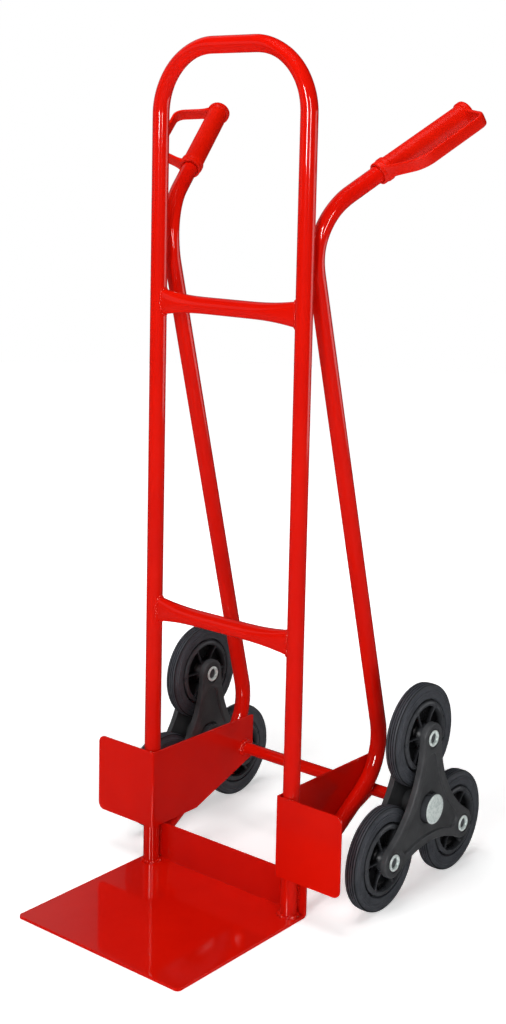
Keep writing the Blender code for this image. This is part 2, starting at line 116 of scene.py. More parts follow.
# Wheel clusters.
SPIDER_T = spider_high.x - spider_low.x
SPIDER_BACK = spider_low.x - WHEEL_X
SPIDER_BOSS_R, SPIDER_WAIST_R = 0.0235, 0.054
RIM_FACE_WIDTH, RECESS_TIP = 0.0133, 0.0715
RECESS_DEPTH, POCKET_R, POCKET_DEPTH = 0.0042, 0.0242, 0.0085
BACK_ROUND_R, EDGE_ROUND_R, LIP_ROUND_R, FLOOR_ROUND_R = 0.0008, 0.0028, 0.0013, 0.0016
SEAT_R, SEAT_DEPTH = 0.0158, 0.0016
PIN_R, PIN_BORE_R, PIN_FLANGE_R = 0.0098, 0.0082, 0.0125
PIN_HOLE_R = PIN_R + 0.0002
RIM_R, RIM_OPENING_R, RIM_HALF = 0.0545, 0.0460, 0.0130
TYRE_HALF = (tyre_high.x - tyre_low.x) / 2
TREAD_LANDS, TREAD_DEPTH, SHOULDER_WIDTH = 4, 0.0014, 0.0034
HUB_R, HUB_HALF = 0.018, 0.0159
AXLE_TUBE_R, SHAFT_R = (axle_high.z - axle_low.z) / 2, 0.007
SHAFT_BORE_R, SLEEVE_R = SHAFT_R + 0.0004, 0.0170
CAP_R, CAP_T = 0.0226, cap_high.x - cap_low.x
COLLAR_R = 0.0216
WASHER_R, WASHER_T = 0.0125, 0.002

# ---- Light and camera ---------------------------------------------------------------------
FLOOR_GLOW, FLOOR_GLOW_FAR = 0.49, 1.02
WORLD_DIM, WORLD_LOBE = 0.011, 0.21
LENS = 55.4699


def behind(x, back, z):
    """A point given by its distance behind the uprights' centreline."""
    return Vector((x, UPRIGHT_Y + back, z))


# ---- Mesh helpers -------------------------------------------------------------------------
def finish_mesh(bm, name, sharp=38):
    bmesh.ops.remove_doubles(bm, verts=bm.verts, dist=2e-6)
    bmesh.ops.recalc_face_normals(bm, faces=bm.faces)
    mesh = bpy.data.meshes.new(name)
    bm.to_mesh(mesh)
    bm.free()
    mesh.shade_smooth()
    mesh.set_sharp_from_angle(angle=math.radians(sharp))
    return mesh


def joined(name, meshes, sharp):
    bm = bmesh.new()
    for mesh in meshes:
        bm.from_mesh(mesh)
    mesh = bpy.data.meshes.new(name)
    bm.to_mesh(mesh)
    bm.free()
    mesh.shade_smooth()
    mesh.set_sharp_from_angle(angle=math.radians(sharp))
    return mesh


def loft(bm, rings, caps=True):
    """Quads between closed rings of points, all of one length, with a face on either end."""
    loops = [[bm.verts.new(point) for point in ring] for ring in rings]
    count = len(loops[0])
    for low, high in zip(loops, loops[1:]):
        for i in range(count):
            j = (i + 1) % count
            bm.faces.new((low[i], low[j], high[j], high[i]))
    if caps:
        bm.faces.new(loops[0])
        bm.faces.new(reversed(loops[-1]))
    return loops


def rounded_path(corners, radii, steps):
    """Corners joined by straight runs and arcs, as (point, towards the arc's centre, share of the bend)."""
    path = [(Vector(corners[0]), Vector(), 0.0)]
    for before, corner, after, radius in zip(corners, corners[1:], corners[2:], radii):
        corner = Vector(corner)
        back = (Vector(before) - corner).normalized()
        on = (Vector(after) - corner).normalized()
        half_turn = (math.pi - back.angle(on)) / 2
        middle = corner + (back + on).normalized() * radius / math.cos(half_turn)
        start = corner + back * radius * math.tan(half_turn) - middle
        end = corner + on * radius * math.tan(half_turn) - middle
        for step in range(steps + 1):
            spoke = start.slerp(end, step / steps)
            share = min(1.0, 3.0 * min(step, steps - step) / steps)
            path.append((middle + spoke * radius, -spoke, share * share * (3 - 2 * share)))
    return path + [(Vector(corners[-1]), Vector(), 0.0)]


def tube_rings(path, radius, sides):
    """Rings square to the path. A bend presses the tube towards the arc's centre and spreads it sideways."""
    points = [point for point, _, _ in path]
    normal = None
    rings = []
    for i, (point, inward, share) in enumerate(path):
        tangent = (points[min(i + 1, len(points) - 1)] - points[max(i - 1, 0)]).normalized()
        if normal is None:
            normal = tangent.orthogonal().normalized()
        normal = (normal - tangent * normal.dot(tangent)).normalized()
        across = tangent.cross(normal)
        ring = []
        for k in range(sides):
            angle = math.tau * k / sides
            offset = (normal * math.cos(angle) + across * math.sin(angle)) * radius
            if share:
                deep = inward * offset.dot(inward)
                wide = offset - deep
                offset = deep * (1 - TUBE_SQUEEZE * share) + wide * (1 + TUBE_SPREAD * share)
            ring.append(point + offset)
        rings.append(ring)
    return rings


def tube_mesh(name, path, radius, sides):
    bm = bmesh.new()
    loft(bm, tube_rings(path, radius, sides))
    return finish_mesh(bm, name)


def turned(profile, steps):
    """A closed (radius, along) profile turned about the X axis."""
    bm = bmesh.new()
    loops = []
    for k in range(steps):
        c, s = math.cos(math.tau * k / steps), math.sin(math.tau * k / steps)
        loops.append([bm.verts.new((along, radius * c, radius * s)) for radius, along in profile])
    count = len(profile)
    for k in range(steps):
        this, following = loops[k], loops[(k + 1) % steps]
        for i in range(count):
            j = (i + 1) % count
            if profile[i][0] < 1e-7 and profile[j][0] < 1e-7:
                continue
            bm.faces.new((this[i], this[j], following[j], following[i]))
    bmesh.ops.remove_doubles(bm, verts=bm.verts, dist=2e-6)
    bmesh.ops.dissolve_degenerate(bm, dist=1e-7, edges=bm.edges)
    return finish_mesh(bm, "turned")


def both_ways(half):
    """A profile followed by its mirror image across x = 0."""
    return half + [(radius, -along) for radius, along in reversed(half)]


def fillet(profile, radii, steps=4):
    """Rounds the corners of a closed 2-D profile; one radius for each point."""
    result = []
    count = len(profile)
    for i, (point, radius) in enumerate(zip(profile, radii)):
        corner = Vector(point)
        before = Vector(profile[i - 1]) - corner
        after = Vector(profile[(i + 1) % count]) - corner
        if radius <= 0:
            result.append(tuple(corner))
            continue
        half = before.angle(after) / 2
        reach = min(radius / math.tan(half), before.length * 0.49, after.length * 0.49)
        start = corner + before.normalized() * reach
        end = corner + after.normalized() * reach
        for step in range(steps + 1):
            t = step / steps
            result.append(tuple(start * (1 - t) ** 2 + corner * 2 * t * (1 - t) + end * t * t))
    return result


def arc(centre, radius, start, end, steps):
    turns = [math.radians(start + (end - start) * step / steps) for step in range(steps + 1)]
    return [(centre[0] + radius * math.cos(a), centre[1] + radius * math.sin(a)) for a in turns]


def around(centre, radius, count):
    """Points of a circle square to X."""
    turns = [math.tau * k / count for k in range(count)]
    return [centre + Vector((0, radius * math.cos(a), radius * math.sin(a))) for a in turns]


def signed_power(value, power):
    return math.copysign(abs(value) ** power, value)


def soften(bm, offset):
    """Rounds the edges where two faces turn sharply."""
    sharp = [e for e in bm.edges if e.is_manifold and e.calc_face_angle(0.0) > SHARP_TURN]
    bmesh.ops.bevel(
        bm, geom=sharp, offset=offset, segments=2, profile=0.5, affect="EDGES", clamp_overlap=True
    )


def weighted(obj):
    """Flat faces keep their own normal beside small fillets."""
    modifier = obj.modifiers.new("weighted_normals", "WEIGHTED_NORMAL")
    modifier.keep_sharp = True
    modifier.weight = 100
    return obj


def place(name, mesh, material, body, slot, *nodes, matrix=None):
    obj = bpy.data.objects.new(name, mesh)
    bpy.context.scene.collection.objects.link(obj)
    if matrix is not None:
        obj.matrix_world = matrix
    mesh.materials.clear()
    mesh.materials.append(material)
    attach(obj, body)
    if nodes:
        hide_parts(*nodes)
    return obj


def bead_rings(points, radius, pitch, closed, seed, swell):
    """A weld bead: a thin tube along points whose thickness ripples as the weld was laid."""
    lengths = [0.0]
    for a, b in zip(points, points[1:] + points[:1]):
        lengths.append(lengths[-1] + (b - a).length)
    total = lengths[len(points)] if closed else lengths[len(points) - 1]
    count = max(6, int(total / (pitch / 5)))
    centres = []
    for k in range(count if closed else count + 1):
        s = total * k / count
        i = max(j for j in range(len(points)) if lengths[j] <= s + 1e-12)
        step = lengths[i + 1] - lengths[i]
        following = points[(i + 1) % len(points)]
        centres.append((points[i].lerp(following, (s - lengths[i]) / step if step > 0 else 0.0), s))
    rings = []
    normal = None
    for k, (centre, s) in enumerate(centres):
        if closed:
            tangent = centres[(k + 1) % len(centres)][0] - centres[k - 1][0]
        else:
            tangent = centres[min(k + 1, len(centres) - 1)][0] - centres[max(k - 1, 0)][0]
        tangent.normalize()
        if normal is None:
            normal = tangent.orthogonal().normalized()
        normal = (normal - tangent * normal.dot(tangent)).normalized()
        across = tangent.cross(normal)
        short_wave = 0.20 * math.sin(math.tau * s / pitch + seed)
        long_wave = 0.12 * math.sin(math.tau * s / (pitch * 3.7) + 2 * seed)
        thick = radius * (1 + swell * (short_wave + long_wave))
        if not closed:
            thick *= min(1.0, 0.35 + min(s, total - s) / (2.2 * radius))
        turns = [math.tau * j / BEAD_SIDES for j in range(BEAD_SIDES)]
        rings.append([centre + (normal * math.cos(a) + across * math.sin(a)) * thick for a in turns])
    return rings


def bead_mesh(points, radius, pitch, closed=False, seed=0.0, swell=1.0):
    bm = bmesh.new()
    rings = bead_rings([Vector(p) for p in points], radius, pitch, closed, seed, swell)
    loops = loft(bm, rings, caps=not closed)
    if closed:
        first, last = loops[0], loops[-1]
        count = len(first)
        nearest = min(range(count), key=lambda k: (first[k].co - last[0].co).length)
        for i in range(count):
            j = (i + 1) % count
            bm.faces.new((last[i], last[j], first[(j + nearest) % count], first[(i + nearest) % count]))
    return finish_mesh(bm, "bead", 80)


# ---- Materials ----------------------------------------------------------------------------
class Nodes:
    """A small builder for a Principled material with object-space noise."""

    def __init__(self, name, roughness, metallic=0.0, **sockets):
        self.material = bpy.data.materials.new(name)
        self.material.use_nodes = True
        self.tree = self.material.node_tree
        self.shader = self.tree.nodes["Principled BSDF"]
        self.shader.inputs["Roughness"].default_value = roughness
        self.shader.inputs["Metallic"].default_value = metallic
        for socket, value in sockets.items():
            self.shader.inputs[socket.replace("_", " ")].default_value = value
        self.coords = self.tree.nodes.new("ShaderNodeTexCoord").outputs["Object"]

    def node(self, kind, **inputs):
        node = self.tree.nodes.new(kind)
        for name, value in inputs.items():
            node.inputs[name.replace("_", " ")].default_value = value
        return node

    def link(self, source, target):
        self.tree.links.new(source, target)

    def noise(self, scale, detail, roughness=0.5):
        node = self.node("ShaderNodeTexNoise", Scale=scale, Detail=detail, Roughness=roughness)
        self.link(self.coords, node.inputs["Vector"])
        return node.outputs["Fac"]

    def voronoi(self, scale):
        node = self.node("ShaderNodeTexVoronoi", Scale=scale)
        self.link(self.coords, node.inputs["Vector"])
        return node.outputs["Color"]

    def ramp(self, source, *stops):
        """Each stop is (position, colour)."""
        node = self.tree.nodes.new("ShaderNodeValToRGB")
        ramp = node.color_ramp
        while len(ramp.elements) < len(stops):
            ramp.elements.new(0.5)
        for element, (position, colour) in zip(ramp.elements, stops):
            element.position = position
            element.color = (*colour, 1.0)
        self.link(source, node.inputs["Fac"])
        return node.outputs["Color"]

    def calculated(self, operation, *sources):
        node = self.node("ShaderNodeMath")
        node.operation = operation
        for source, socket in zip(sources, node.inputs):
            self.link(source, socket)
        return node.outputs[0]

    def distance_from_axle(self):
        """Distance from the object's own X axis, in metres."""
        flat = self.node("ShaderNodeVectorMath")
        flat.operation = "MULTIPLY"
        flat.inputs[1].default_value = (0.0, 1.0, 1.0)
        self.link(self.coords, flat.inputs[0])
        length = self.node("ShaderNodeVectorMath")
        length.operation = "LENGTH"
        self.link(flat.outputs["Vector"], length.inputs[0])
        return length.outputs["Value"]

    def mixed(self, blend, first, second):
        node = self.node("ShaderNodeMix")
        node.data_type = "RGBA"
        node.blend_type = blend
        node.inputs[0].default_value = 1.0
        self.link(first, node.inputs[6])
        self.link(second, node.inputs[7])
        return node.outputs[2]

    def span(self, source, low, high, from_low=0.3, from_high=0.7):
        """Maps from_low to low and from_high to high."""
        node = self.node(
            "ShaderNodeMapRange", From_Min=from_low, From_Max=from_high, To_Min=low, To_Max=high
        )
        self.link(source, node.inputs["Value"])
        return node.outputs["Result"]

    def colour(self, source):
        self.link(source, self.shader.inputs["Base Color"])

    def roughness(self, source):
        self.link(source, self.shader.inputs["Roughness"])

    def bump(self, *layers):
        """Each layer is (height source, distance in metres); they are stacked."""
        previous = None
        for height, distance in layers:
            node = self.node("ShaderNodeBump", Strength=1.0, Distance=distance)
            self.link(height, node.inputs["Height"])
            if previous is not None:
                self.link(previous, node.inputs["Normal"])
            previous = node.outputs["Normal"]
        self.link(previous, self.shader.inputs["Normal"])


def red_paint():
    coat = {"Coat_Weight": 1.0, "Coat_Roughness": 0.07, "Coat_IOR": 1.75}
    nodes = Nodes("red_powder_coat", 0.3, Specular_IOR_Level=0.03, **coat)
    deep, pale = (0.66, 0.0046, 0.0006), (0.73, 0.0064, 0.0010)
    nodes.colour(nodes.ramp(nodes.noise(9.0, 4.0), (0.30, deep), (0.70, pale)))
    nodes.roughness(nodes.span(nodes.noise(60.0, 4.0), 0.30, 0.44))
    nodes.bump((nodes.noise(30.0, 1.0), 0.00003))
    return nodes.material


def red_plastic():
    nodes = Nodes("red_plastic", 0.38, Specular_IOR_Level=0.16)
    deep, pale = (0.60, 0.0058, 0.0008), (0.68, 0.0086, 0.0014)
    nodes.colour(nodes.ramp(nodes.noise(26.0, 4.0), (0.30, deep), (0.70, pale)))
    nodes.roughness(nodes.span(nodes.noise(40.0, 1.5), 0.31, 0.37))
    nodes.bump((nodes.noise(24.0, 1.0), 0.00003))
    return nodes.material


def black_rubber():
    """Painted shade: its grey is darker, down to about a tenth, in the tread's grooves and along the top of
    each shoulder; the sidewalls keep theirs.
    """
    nodes = Nodes("black_rubber", 0.5, Specular_IOR_Level=0.5)
    radius = nodes.distance_from_axle()
    full, none = (1.0, 1.0, 1.0), (0.0, 0.0, 0.0)
    # Painted shade: radii just under the tread's crown are darkened, which shades the grooves and the
    # shoulders' tops.
    bottom, tread_shade_rising = (0.10, 0.10, 0.10), (0.14, 0.14, 0.14)
    tread_shade_span = nodes.span(radius, 0.0, 1.0, 0.0764, 0.0786)
    groove = nodes.ramp(tread_shade_span, (0.0, bottom), (0.52, tread_shade_rising), (0.64, full))
    across_side = nodes.span(radius, 0.0, 1.0, 0.0700, 0.0764)
    side = nodes.ramp(across_side, (0.0, full), (0.92, full), (1.0, none))
    deep, pale = (0.0410, 0.0450, 0.0540), (0.0700, 0.0750, 0.0880)
    grey = nodes.ramp(nodes.noise(55.0, 5.0, 0.6), (0.25, deep), (0.75, pale))
    nodes.colour(nodes.mixed("MULTIPLY", grey, nodes.mixed("LIGHTEN", groove, side)))
    nodes.roughness(nodes.span(nodes.noise(60.0, 2.0), 0.40, 0.54))
    nodes.bump((nodes.noise(110.0, 2.0), 0.00005))
    return nodes.material


def black_nylon():
    nodes = Nodes("black_nylon", 0.42, Specular_IOR_Level=0.5)
    deep, pale = (0.0440, 0.0455, 0.0485), (0.0800, 0.0820, 0.0860)
    nodes.colour(nodes.ramp(nodes.noise(40.0, 5.0, 0.6), (0.25, deep), (0.75, pale)))
    nodes.roughness(nodes.span(nodes.noise(60.0, 1.5), 0.34, 0.42))
    nodes.bump((nodes.noise(80.0, 2.0), 0.00005))
    return nodes.material


def black_polymer():
    """Painted shade: its grey sinks to black near the web's middle, down between the lip rings."""
    nodes = Nodes("black_polymer", 0.3, Specular_IOR_Level=0.5)
    split = nodes.node("ShaderNodeSeparateXYZ")
    nodes.link(nodes.coords, split.inputs[0])
    off_web = nodes.calculated("ABSOLUTE", split.outputs["X"])
    # Painted shade: the web darkens to black towards its middle.
    web_shade = nodes.span(off_web, 0.06, 1.0, 0.004, 0.0105)
    patches = nodes.span(nodes.noise(70.0, 4.0), 0.7, 1.0)
    black, grey = (0.0010, 0.0010, 0.0014), (0.0600, 0.0630, 0.0700)
    nodes.colour(nodes.ramp(nodes.calculated("MULTIPLY", web_shade, patches), (0.0, black), (1.0, grey)))
    nodes.roughness(nodes.span(nodes.noise(60.0, 1.5), 0.26, 0.34))
    nodes.bump((nodes.noise(90.0, 1.0), 0.00003))
    return nodes.material


def zinc_plate():
    nodes = Nodes("zinc_plated_steel", 0.35, metallic=0.22)
    cells = nodes.voronoi(260.0)
    dull, middle, bright = (0.52, 0.60, 0.58), (0.78, 0.87, 0.84), (0.96, 1.0, 0.98)
    nodes.colour(nodes.ramp(nodes.noise(230.0, 5.0, 0.65), (0.28, dull), (0.50, middle), (0.72, bright)))
    nodes.roughness(nodes.span(cells, 0.26, 0.46, 0.0, 1.0))
    nodes.bump((nodes.noise(300.0, 2.0), 0.00003), (cells, 0.00003))
    return nodes.material


# ---- Frame --------------------------------------------------------------------------------
def make_loop(steel):
    foot = PLATE_T + 0.0002
    outline = ((-1, foot), (-1, LOOP_TOP), (1, LOOP_TOP), (1, foot))
    corners = [behind(sign * UPRIGHT_X, 0, z) for sign, z in outline]
    path = rounded_path(corners, [LOOP_BEND_R, LOOP_BEND_R], 28)
    place("loop", tube_mesh("loop", path, TUBE_R, 40), steel, "frame", "red_powder_coat", "frame_loop")


def crossbar_ring(x, end, sides=40):
    """The bar's section at x: round in the middle, a tall rounded oblong at its ends."""
    share = min(1.0, (end - abs(x)) / CROSSBAR_FLARE)
    round_share = 1 - (1 - share) ** 2.3
    deep = CROSSBAR_DEEP / 2 + (TUBE_R - CROSSBAR_DEEP / 2) * round_share
    tall = CROSSBAR_TALL / 2 + (TUBE_R - CROSSBAR_TALL / 2) * round_share
    power = 0.62 + 0.38 * round_share
    ring = []
    for k in range(sides):
        angle = math.tau * (k + 0.5) / sides
        across = signed_power(math.cos(angle), power) * deep
        ring.append((x, across, signed_power(math.sin(angle), power) * tall))
    return ring


def make_crossbars(steel):
    half = [CROSSBAR_END - CROSSBAR_FLARE * step / 14 for step in range(15)] + [0.02]
    stations = [-x for x in half] + half[::-1]
    for name, height in CROSSBAR_Z.items():
        bm = bmesh.new()
        loft(bm, [crossbar_ring(x, CROSSBAR_END) for x in stations])
        bar = finish_mesh(bm, name)
        bar.transform(Matrix.Translation(behind(0, 0, height)))
        place(f"{name}_tube", bar, steel, "frame", "red_powder_coat", name)
        beads = []
        for sign in SIDES.values():
            curve = []
            for _, deep, tall in crossbar_ring(0.0, 0.0, 48):
                inset = math.sqrt(max(0.0, TUBE_R**2 - deep**2))
                x = sign * (UPRIGHT_X - inset - 0.0004)
                curve.append(behind(x, deep * 1.04, height + tall * 1.02))
            beads.append(bead_mesh(curve, *CROSSBAR_BEAD, closed=True, seed=height + sign))
        place(f"{name}_welds", joined("welds", beads, 80), steel, "frame", "red_powder_coat")


def round_corners(bm, at_corner, radius, segments):
    """Rounds a sheet's corners: the short edges through its thickness whose ends pass the test."""
    edges = []
    for edge in bm.edges:
        first, second = (vert.co for vert in edge.verts)
        short = edge.calc_length() < 1.5 * PLATE_T and abs(first.x - second.x) < 1e-6
        if short and at_corner(first) and at_corner(second):
            edges.append(edge)
    bmesh.ops.bevel(bm, geom=edges, offset=radius, segments=segments, profile=0.5, affect="EDGES")


def make_toe_plate(steel):
    back = FLANGE_BACK - UPRIGHT_Y
    bend = (back - FLANGE_BEND_R, FLANGE_BEND_R)
    front = plate_low.y - UPRIGHT_Y
    top = plate_high.z
    outline = [(front, 0.0)] + arc(bend, FLANGE_BEND_R, -90, 0, 8)
    outline += [(back, top), (back - PLATE_T, top)]
    outline += arc(bend, FLANGE_BEND_R - PLATE_T, 0, -90, 8) + [(front, PLATE_T)]
    bm = bmesh.new()
    loft(bm, [[behind(x, b, z) for b, z in outline] for x in (plate_low.x, plate_high.x)])
    bmesh.ops.recalc_face_normals(bm, faces=bm.faces)
    round_corners(bm, lambda co: co.y < plate_low.y + 0.001, PLATE_CORNER_R, 8)
    round_corners(bm, lambda co: co.z > top - 0.0005, FLANGE_CORNER_R, 5)
    soften(bm, 0.0007)
    mesh = finish_mesh(bm, "toe_plate_sheet", 50)
    weighted(place("toe_plate_sheet", mesh, steel, "frame", "red_powder_coat", "toe_plate"))
    beads = []
    for sign in SIDES.values():
        circle = arc((sign * UPRIGHT_X, 0), TUBE_R + GAP, 0, 360, 48)[:-1]
        ring = [behind(x, b, PLATE_T + 0.0006) for x, b in circle]
        beads.append(bead_mesh(ring, *FOOT_BEAD, closed=True, seed=2.0 * sign, swell=1.7))
        for turn in (-1, 1):
            x, wall = sign * UPRIGHT_X + turn * 0.0072, back - PLATE_T - 0.0007
            line = [behind(x, wall, z) for z in (0.010, 0.035, top - 0.004)]
            beads.append(bead_mesh(line, *FLANGE_BEAD, seed=sign + turn))
    place("foot_welds", joined("welds", beads, 80), steel, "frame", "red_powder_coat")


def side_plate_mesh(side, sign):
    """A sheet folded along the upright: a panel runs back inside it, a wing goes out in front."""
    wing_back = -TUBE_R - GAP - SHEET_T / 2
    bottom, top = side_low.z, side_high.z
    corner_x = side_high.x - WING_CORNER_R
    wing = arc((corner_x, bottom + WING_CORNER_R), WING_CORNER_R, -90, 0, 8)
    wing += arc((corner_x, top - WING_CORNER_R), WING_CORNER_R, 0, 90, 8)
    fold = arc((PANEL_X + FOLD_R, wing_back + FOLD_R), FOLD_R, 270, 180, 6)
    panel = [(PANEL_REAR, PANEL_REAR_TOP), (PANEL_REAR, PANEL_REAR_BOTTOM), (PANEL_KINK, bottom)]
    panel = fillet(panel + [(wing_back, bottom), (wing_back, top)], [0.004, 0.006, 0.004, 0.0, 0.0])
    bm = bmesh.new()
    fold_low = [bm.verts.new(behind(sign * x, b, bottom)) for x, b in fold]
    fold_high = [bm.verts.new(behind(sign * x, b, top)) for x, b in fold]
    wing = [bm.verts.new(behind(sign * x, wing_back, z)) for x, z in wing]
    panel = [bm.verts.new(behind(sign * PANEL_X, b, z)) for b, z in panel[:-2]]
    bm.faces.new([fold_low[0]] + wing + [fold_high[0]])
    for k in range(len(fold) - 1):
        bm.faces.new((fold_low[k], fold_high[k], fold_high[k + 1], fold_low[k + 1]))
    bm.faces.new([fold_low[-1], fold_high[-1]] + panel)
    bmesh.ops.recalc_face_normals(bm, faces=bm.faces)
    bmesh.ops.solidify(bm, geom=bm.faces[:], thickness=SHEET_T)
    soften(bm, 0.0005)
    mesh = finish_mesh(bm, "side_plate_sheet", 50)
    cad_low, cad_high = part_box(f"side_plate_{side}")
    cad_inner = min(abs(cad_low.x), abs(cad_high.x))
    inner = min(abs(vert.co.x) for vert in mesh.vertices)
    front = min(vert.co.y for vert in mesh.vertices)
    mesh.transform(Matrix.Translation((sign * (cad_inner - inner), cad_low.y - front, 0.0)))
    return mesh


def make_side_plates(steel):
    for side, sign in SIDES.items():
        name, mesh = f"side_plate_sheet_{side}", side_plate_mesh(side, sign)
        weighted(place(name, mesh, steel, "frame", "red_powder_coat", f"side_plate_{side}"))


def handle_path(sign):
    """The handle tube's corners, from the grip's end down to the flange, and the path along them."""
    corner = behind(sign * HANDLE_CORNERS[0][0], *HANDLE_CORNERS[0][1:])
    axis = Vector((sign * GRIP_AXIS[0], *GRIP_AXIS[1:])).normalized()
    corners = [corner + axis * (GRIP_START + GRIP_LENGTH - 0.012)]
    corners += [behind(sign * x, b, z) for x, b, z in HANDLE_CORNERS]
    return corners, rounded_path(corners, HANDLE_BEND_R, 24)


def handle_welds(sign, points):
    beads = []
    # Where the tube touches the back of the upright, under its top bend.
    upright = Vector((sign * UPRIGHT_X, UPRIGHT_Y, 0))
    touch = min(points, key=lambda p: (Vector((p.x, p.y, 0)) - upright).length)
    for turn in (-1, 1):
        line = []
        for point in points:
            if abs(point.z - touch.z) >= 0.032:
                continue
            away = Vector((point.x, point.y, 0)) - upright
            gap = away.normalized()
            middle = upright + away / 2
            across = Vector((-gap.y, gap.x, 0)) * turn
            line.append(Vector((middle.x, middle.y, point.z)) + across * 0.0058)
        beads.append(bead_mesh(line, *UPRIGHT_BEAD, seed=turn + sign))
    # Where it runs along the outside of the side plate's panel.
    x, top = sign * (UPRIGHT_X - TUBE_R + 0.0012), 0.176
    rear = [p for p in points if 0.120 < p.z < top and p.y > UPRIGHT_Y + 0.13]
    line = [Vector((x, p.y + 0.0062, min(p.z + 0.002, top))) for p in rear]
    beads.append(bead_mesh(line, *PANEL_BEAD, seed=3 + sign))
    return joined("welds", beads, 80)


def make_handles(steel, plastic):
    cut = FLANGE_BACK + GAP
    for side, sign in SIDES.items():
        corners, path = handle_path(sign)
        foot, before = path[-1][0], path[-2][0]
        along = (cut - foot.y) / (before.y - foot.y)
        path[-1] = (foot.lerp(before, along + 0.01), Vector(), 0.0)
        mesh = tube_mesh("handle", path, TUBE_R, 36)
        for vert in mesh.vertices:
            vert.co.y = max(vert.co.y, cut)
        place(f"handle_{side}", mesh, steel, "frame", "red_powder_coat", f"handle_tube_{side}")
        welds = handle_welds(sign, dense(path, 0.004))
        place(f"handle_welds_{side}", welds, steel, "frame", "red_powder_coat")
        make_grip(side, sign, corners, plastic)


def dense(path, step):
    """The path's points, with more between them where they lie further apart than a step."""
    result = []
    for (a, _, _), (b, _, _) in zip(path, path[1:]):
        count = max(1, int((b - a).length / step))
        result += [a.lerp(b, k / count) for k in range(count)]
    return result


def make_grip(side, sign, corners, plastic):
    """A moulded sleeve with a collar and an end flange, and a knuckle guard that flows into it."""
    end = GRIP_LENGTH
    along = (corners[0] - corners[1]).normalized()
    out = Vector((along.y * sign, -along.x * sign, 0)).normalized()
    up = along.cross(out)
    bore = TUBE_R + 0.0006
    profile = [
        (0.0, end), (0.0160, end), (0.0182, end - 0.0026), (0.0182, end - 0.010), (GRIP_R, end - 0.0115),
        (GRIP_R, 0.0185), (0.0178, 0.017), (0.0178, 0.010), (0.0168, 0.0085), (0.0168, 0.0), (bore, 0.0),
        (bore, 0.02), (0.0, 0.02),
    ]
    radii = [0, 0.003, 0.003, 0.0012, 0.004, 0.003, 0.0012, 0.0012, 0.0012, 0.0014, 0.0008, 0, 0]
    sleeve = turned(fillet(profile, radii, 5), 56)
    guard = guard_mesh(GUARD_TURN[side])
    start = Matrix.Translation(corners[1] + along * GRIP_START)
    axes = Matrix((along, out, up)).transposed().to_4x4()
    drop = Matrix.Rotation(-GRIP_DROP[side], 4, "Y")
    for mesh in (sleeve, guard):
        mesh.transform(start @ axes @ drop)
    grip = joined("grip", [sleeve, guard], 50)
    place(f"grip_moulding_{side}", grip, plastic, "frame", "red_plastic", f"grip_{side}")


def guard_mesh(turned_by):
    """A flat strip bent round the fingers, in the grip's own frame, wider where it meets the sleeve."""
    path = rounded_path([(a, o, 0.0) for a, o in GUARD_CORNERS], GUARD_BEND_R, 14)
    points = dense(path, 0.003) + [path[-1][0]]
    last = len(points) - 1
    tall = Vector((0, 0, 1))
    rings = []
    for i, point in enumerate(points):
        on = (points[min(i + 1, last)] - points[max(i - 1, 0)]).normalized()
        across = on.cross(tall).normalized()
        to_end = min((point - points[0]).length, (point - points[-1]).length)
        flare = max(0.0, 1 - to_end / 0.020) ** 2
        twist = 1 + (GRIP_LENGTH / 2 - point.x) / GRIP_LENGTH
        turn = Matrix.Rotation(turned_by * twist, 3, "X")
        height = GUARD_HEIGHT / 2 * (1 + 0.30 * flare)
        width = GUARD_T / 2 * (1 + 1.1 * flare)
        ring = []
        for k in range(20):
            angle = math.tau * (k + 0.5) / 20
            sideways = across * signed_power(math.cos(angle), 0.55) * width
            upwards = tall * signed_power(math.sin(angle), 0.45) * height
            ring.append(turn @ (point + sideways + upwards))
        rings.append(ring)
    bm = bmesh.new()
    loft(bm, rings)
    return finish_mesh(bm, "guard", 60)


def make_axle(steel, zinc):
    middle = Matrix.Translation((0, AXLE.y, AXLE.z))
    end = axle_high.x
    profile = [(SHAFT_BORE_R, -end), (AXLE_TUBE_R, -end), (AXLE_TUBE_R, end), (SHAFT_BORE_R, end)]
    tube = turned(fillet(profile, [0.0006, 0.0008, 0.0008, 0.0006], 3), 40)
    tube.transform(middle)
    place("axle_housing", tube, steel, "frame", "red_powder_coat", "axle_tube")
    shaft_low, shaft_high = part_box("axle_shaft")
    rod = [(0.0, shaft_low.x), (SHAFT_R, shaft_low.x), (SHAFT_R, shaft_high.x), (0.0, shaft_high.x)]
    shaft = turned(fillet(rod, [0, 0.0008, 0.0008, 0], 3), 32)
    shaft.transform(middle)
    place("axle_rod", shaft, zinc, "frame", "zinc_plated_steel", "axle_shaft")
    beads = []
    for sign in SIDES.values():
        for face, bead in AXLE_BEADS:
            x = sign * (PANEL_X + face * (SHEET_T / 2 + 0.0010))
            ring = around(Vector((x, AXLE.y, AXLE.z)), AXLE_TUBE_R + 0.0006, 40)
            beads.append(bead_mesh(ring, *bead, closed=True, seed=face + 2 * sign))
    place("axle_welds", joined("welds", beads, 80), steel, "frame", "red_powder_coat")


# ---- Wheel clusters -----------------------------------------------------------------------
def star(tip, tip_r, side_centre, side_r):
    """A closed outline with three round tips joined by concave sides, in the wheel's plane."""
    boss = Vector((0, tip))
    centre = Vector((side_centre * math.sin(math.pi / 3), side_centre * math.cos(math.pi / 3)))
    toward = math.degrees(math.atan2(centre.y - boss.y, centre.x - boss.x))
    away = math.degrees(math.atan2(boss.y - centre.y, boss.x - centre.x)) % 360
    points = arc(boss, tip_r, 180 - toward, toward, 18)
    points += arc(centre, side_r, away, 420 - away, 26)[1:-1]
    outline = []
    for turn in (0, -120, -240):
        c, s = math.cos(math.radians(turn)), math.sin(math.radians(turn))
        outline += [(x * c - y * s, x * s + y * c) for x, y in points]
    return outline


